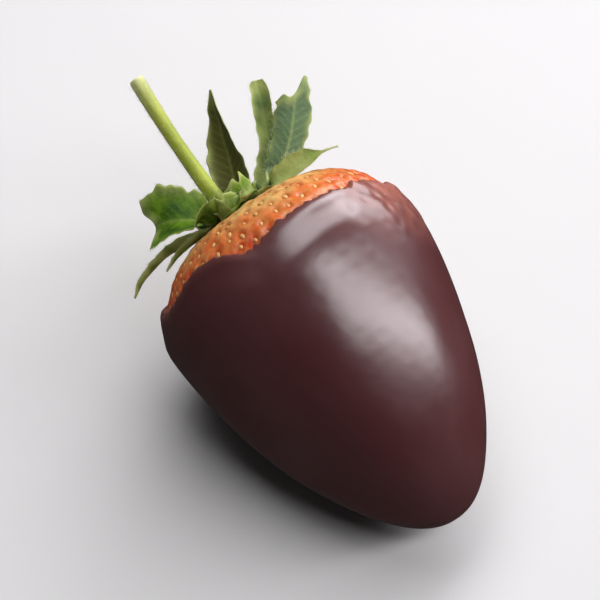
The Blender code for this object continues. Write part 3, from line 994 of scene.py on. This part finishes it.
def leaf_faces():
    """Faces of a leaf: its blade, and a strip across each end."""
    columns = 2 * LEAF_COLUMNS
    faces = ring_faces(LEAF_ROWS, columns, poles=False)
    tip = (LEAF_ROWS - 1) * columns
    for column in range(LEAF_COLUMNS - 1):
        root_strip = (column, column + 1, columns - 2 - column, columns - 1 - column)
        faces.append(root_strip)
        faces.append(tuple(tip + corner for corner in reversed(root_strip)))
    return faces


def each_blade(cap, kind):
    """Number, rings and marks of each leaf of one kind."""
    leaves, layer = LEAVES[kind]
    for number, leaf in enumerate(leaves, 1):
        yield number, *leaf_surface(cap, leaf, layer, 50 + 10 * number + len(kind))


def add_leaves(scene, kind):
    """A blade for each leaf of one kind."""
    cap = Cap(scene)
    finish = kept_finish("downy_leaf", leaf_finish, cap.settings)
    faces = leaf_faces()
    for number, rings, marks in each_blade(cap, kind):
        name = f"{kind}_blade_{number}"
        add_piece(name, cap.lay(rings), faces, finish, marks, [f"{kind}_{number}"])


class STRAWBERRY_OT_disc(Operator):
    """Make the round middle of the cap"""

    bl_idname = "strawberry.disc"
    bl_label = "Cap Disc"

    def execute(self, context):
        cap = Cap(context.scene)
        rings = disc_rings(cap)
        points = with_poles(rings, (0.0, 0.0, rings[0, :, 2].max()), (0.0, 0.0, rings[-1, :, 2].min()))
        blank = np.zeros(len(points))
        marks = {"vein": blank + 0.15, "margin": blank, "olive": blank, "silver": blank + 0.2}
        finish = kept_finish("downy_leaf", leaf_finish, cap.settings)
        faces = ring_faces(len(rings), DISC_COLUMNS)
        add_piece("cap_boss", cap.lay(points), faces, finish, marks, ["calyx_disc"])
        return {"FINISHED"}


class STRAWBERRY_OT_sepals(Operator):
    """Make the broad leaves of the cap"""

    bl_idname = "strawberry.sepals"
    bl_label = "Broad Leaves"

    def execute(self, context):
        add_leaves(context.scene, "sepal")
        return {"FINISHED"}


class STRAWBERRY_OT_bractlets(Operator):
    """Make the narrow leaves between the broad ones"""

    bl_idname = "strawberry.bractlets"
    bl_label = "Narrow Leaves"

    def execute(self, context):
        add_leaves(context.scene, "bractlet")
        return {"FINISHED"}


def stalk_rings(cap):
    """The stalk's rings, from its dished cut end down to its foot, with its marks."""
    settings = cap.settings
    angle = ring_turns(STALK_COLUMNS)
    dish = np.linspace(0.25, 0.95, DISH_RINGS)[:, None]
    dish_drop = 0.30 * MM * (1 - smooth_step(dish / 0.95))
    share = np.linspace(1.0, 0.0, STALK_RINGS)[:, None]
    girth = 1.0 + 0.30 * (1 - share) ** 6 + 0.07 * share**10 + 0.03 * np.sin(9 * share)
    grooves = 1 + 0.022 * np.cos(5 * angle + 2.2 * share) + 0.012 * np.cos(8 * angle - 1.0)
    rounded = 1 - 0.10 * np.exp(-((1 - share) / 0.008))
    side = settings.stem_radius * girth * grooves * rounded
    radius = np.vstack([settings.stem_radius * 0.97 * dish * np.ones_like(angle), side])
    place = np.vstack([np.ones_like(dish), share])
    drop = np.vstack([dish_drop, np.zeros_like(share)])
    base = cap.top + GAP
    height = base + settings.stem_length * place - drop
    height = np.where(place < 0.001, base - 0.6 * MM, height)
    lean = settings.stem_offset + settings.stem_bow * np.sin(math.pi * place)
    middle = (lean * math.cos(settings.turn), lean * math.sin(settings.turn))
    rings = round_points(radius, angle, height, middle)
    paler = np.maximum(np.exp(-(1 - share) / 0.012), 0.55 * np.exp(-(1 - share) / 0.12))
    cut = np.vstack([np.ones_like(dish), paler]) * np.ones_like(angle)
    foot = np.vstack([np.zeros_like(dish), 0.8 * np.exp(-share / 0.12)]) * np.ones_like(angle)
    return rings, cut, foot


class STRAWBERRY_OT_stalk(Operator):
    """Make the stalk with its cut end"""

    bl_idname = "strawberry.stalk"
    bl_label = "Stalk"

    def execute(self, context):
        cap = Cap(context.scene)
        rings, cut, foot = stalk_rings(cap)
        points = with_poles(rings, rings[0].mean(axis=0), rings[-1].mean(axis=0))
        marks = {"cut": np.append(cut.ravel(), (1, 0)), "foot": np.append(foot.ravel(), (0, 1))}
        finish = kept_finish("downy_stalk", stalk_finish, cap.settings)
        faces = ring_faces(len(rings), STALK_COLUMNS)
        add_piece("stalk", cap.lay(points), faces, finish, marks, ["stem"])
        return {"FINISHED"}


def hair_points(roots, ways, lengths, thickness, draw):
    """Slim pointed hairs, each of four points: three round its root and one at its end."""
    ways = unit(ways)
    aside = unit(np.cross(ways, unit(draw.normal(size=ways.shape))))
    other = np.cross(ways, aside)
    turns = TAU / 3 * np.arange(3)[None, :, None]
    ring = aside[:, None, :] * np.cos(turns) + other[:, None, :] * np.sin(turns)
    foot = roots[:, None, :] + 0.5 * thickness * ring
    end = roots + ways * lengths[:, None]
    return np.concatenate([foot, end[:, None, :]], axis=1)


def hair_seats(cap, draw):
    """Where hairs stand on the leaves' edges and on the stalk, and which way they point."""
    roots, ways = [], []
    for kind in LEAVES:
        for _, rings, _ in each_blade(cap, kind):
            middle = rings[:, LEAF_COLUMNS // 2]
            rows = draw.integers(LEAF_ROWS // 8, LEAF_ROWS - 1, EDGE_HAIRS)
            edge = np.where(draw.random(EDGE_HAIRS) < 0.5, 0, LEAF_COLUMNS - 1)
            spot = rings[rows, edge]
            ahead = unit(rings[np.minimum(rows + 1, LEAF_ROWS - 1), edge] - rings[rows - 1, edge])
            roots.append(spot)
            ways.append(unit(spot - middle[rows]) + 0.7 * ahead + 0.3 * draw.normal(size=spot.shape))
    rings, _, _ = stalk_rings(cap)
    rows = draw.integers(DISH_RINGS + 2, len(rings) - 3, STALK_HAIRS)
    columns = draw.integers(0, STALK_COLUMNS, STALK_HAIRS)
    spot = rings[rows, columns]
    outward = unit(spot - rings[rows].mean(axis=1))
    roots.append(spot - 0.02 * MM * outward)
    ways.append(outward + 0.35 * draw.normal(size=spot.shape) + (0, 0, 0.35))
    return np.vstack(roots), np.vstack(ways)


class STRAWBERRY_OT_down(Operator):
    """Make the fine pale hairs of the leaves' edges and the stalk, as one piece"""

    bl_idname = "strawberry.down"
    bl_label = "Fine Hairs"

    def execute(self, context):
        cap = Cap(context.scene)
        settings = cap.settings
        draw = np.random.default_rng(71)
        roots, ways = hair_seats(cap, draw)
        lengths = settings.hair_length * draw.uniform(0.35, 1.0, len(roots))
        points = hair_points(roots, ways, lengths, settings.hair_thickness, draw)
        faces = []
        for start in range(0, 4 * len(roots), 4):
            one, two, three, end = range(start, start + 4)
            faces += [(one, three, two), (one, two, end), (two, three, end), (three, one, end)]
        finish = kept_finish("pale_down", down_finish, settings)
        add_piece("cap_down", cap.lay(points), faces, finish)
        return {"FINISHED"}


# --- The studio ---

# Soft boxes: azimuth, elevation and lean on their own axis in degrees, width and height in metres.
Light = namedtuple("Light", "name azimuth elevation width height lean")
LIGHTS = (
    Light("key", 131.0, 45.0, 0.125, 0.98, 40.0),
    Light("back", -158.0, 22.0, 0.50, 0.40, 0.0),
    Light("rim", -126.0, 58.0, 0.32, 0.90, -38.0),
)
LIGHT_DISTANCE = 0.60
LIGHT_TINT = (1.0, 0.965, 1.0)
WORLD_TINT = (1.0, 0.98, 0.97, 1.0)
FLOOR_HALF = 1.5


def direction(azimuth, elevation):
    """Unit vector towards a place around the berry: azimuth 0 is in front, 90 beyond its tip."""
    flat = math.cos(elevation)
    return Vector((math.sin(azimuth) * flat, -math.cos(azimuth) * flat, math.sin(elevation)))


def add_soft_light(light, power, target):
    """A soft box that faces the target."""
    lamp = bpy.data.lights.new(light.name, "AREA")
    lamp.shape = "RECTANGLE"
    lamp.size, lamp.size_y = light.width, light.height
    lamp.energy = power
    lamp.color = LIGHT_TINT
    made = add_object(light.name, lamp)
    towards = direction(math.radians(light.azimuth), math.radians(light.elevation))
    made.location = target + towards * LIGHT_DISTANCE
    turned = towards.to_track_quat("Z", "Y").to_matrix() @ Matrix.Rotation(math.radians(light.lean), 3, "Z")
    made.rotation_euler = turned.to_euler()


def add_camera(studio, neck):
    """The camera, which looks at a place a little to the side of the neck."""
    back = direction(studio.azimuth, studio.elevation)
    level = Vector((math.cos(studio.azimuth), math.sin(studio.azimuth), 0.0))
    upright = back.cross(level)
    right = level * math.cos(studio.roll) + upright * math.sin(studio.roll)
    up = upright * math.cos(studio.roll) - level * math.sin(studio.roll)
    lens = bpy.data.cameras.new("camera")
    lens.sensor_width = 36.0
    lens.lens = lens.sensor_width * studio.distance / studio.field
    lens.clip_start = 0.01
    camera = add_object("camera", lens)
    aim = neck + right * studio.aim_right - up * studio.aim_down
    turned = Matrix((right, up, back)).transposed().to_4x4()
    camera.matrix_world = Matrix.Translation(aim + back * studio.distance) @ turned
    bpy.context.scene.camera = camera


def add_floor(studio):
    """A flat pale floor, which the glossy chocolate doesn't mirror."""
    mesh = bpy.data.meshes.new("floor")
    corners = [(FLOOR_HALF * x, FLOOR_HALF * y, 0) for x, y in ((-1, -1), (1, -1), (1, 1), (-1, 1))]
    mesh.from_pydata(corners, [], [(0, 1, 2, 3)])
    made, tree, shader = new_finish("floor_paper", 0.85)
    paint(tree, shader, blotched(tree, studio.floor_colour, FLOOR_BLOTCH, 30.0, 0.3)["Colour"])
    mesh.materials.append(made)
    floor = add_object("floor", mesh)
    floor.visible_glossy = False


class STRAWBERRY_OT_studio(Operator):
    """Set up the floor, the soft lights and the camera"""

    bl_idname = "strawberry.studio"
    bl_label = "Studio"

    def execute(self, context):
        studio = context.scene.strawberry_studio
        neck = Vector(Body(context.scene.strawberry_berry).place)
        add_camera(studio, neck)
        add_floor(studio)
        middle = (cad_box[0] + cad_box[1]) / 2
        for light in LIGHTS:
            add_soft_light(light, getattr(studio, light.name + "_power"), middle)
        world = bpy.data.worlds.new("studio")
        world.use_nodes = True
        shade = world.node_tree.nodes["Background"]
        shade.inputs["Color"].default_value = WORLD_TINT
        shade.inputs["Strength"].default_value = studio.ambient
        context.scene.world = world
        context.scene.view_settings.view_transform = "Standard"
        return {"FINISHED"}


# --- The panel and the run ---

SETTINGS = {
    "strawberry_berry": BerrySettings,
    "strawberry_chocolate": ChocolateSettings,
    "strawberry_cap": CapSettings,
    "strawberry_studio": StudioSettings,
}
STEPS = (
    STRAWBERRY_OT_berry,
    STRAWBERRY_OT_chocolate_coat,
    STRAWBERRY_OT_disc,
    STRAWBERRY_OT_sepals,
    STRAWBERRY_OT_bractlets,
    STRAWBERRY_OT_stalk,
    STRAWBERRY_OT_down,
    STRAWBERRY_OT_studio,
)


class STRAWBERRY_PT_panel(Panel):
    """Buttons that build each piece, and the settings they use"""

    bl_idname = "STRAWBERRY_PT_panel"
    bl_label = "Chocolate Coated Strawberry"
    bl_space_type = "VIEW_3D"
    bl_region_type = "UI"
    bl_category = "Strawberry"

    def draw(self, context):
        layout = self.layout
        for operator in STEPS:
            layout.operator(operator.bl_idname)
        for name in SETTINGS:
            settings = getattr(context.scene, name)
            box = layout.box()
            box.label(text=name.replace("_", " ").title())
            for label in settings.__annotations__:
                box.prop(settings, label)


CLASSES = (*SETTINGS.values(), *STEPS, STRAWBERRY_PT_panel)


def register():
    for made in CLASSES:
        bpy.utils.register_class(made)
    for name, group in SETTINGS.items():
        setattr(bpy.types.Scene, name, PointerProperty(type=group))


def unregister():
    for name in SETTINGS:
        delattr(bpy.types.Scene, name)
    for made in reversed(CLASSES):
        bpy.utils.unregister_class(made)


def main():
    register()
    bpy.ops.strawberry.berry()
    bpy.ops.strawberry.chocolate_coat()
    bpy.ops.strawberry.disc()
    bpy.ops.strawberry.sepals()
    bpy.ops.strawberry.bractlets()
    bpy.ops.strawberry.stalk()
    bpy.ops.strawberry.down()
    bpy.ops.strawberry.studio()


if __name__ == "__main__":
    main()
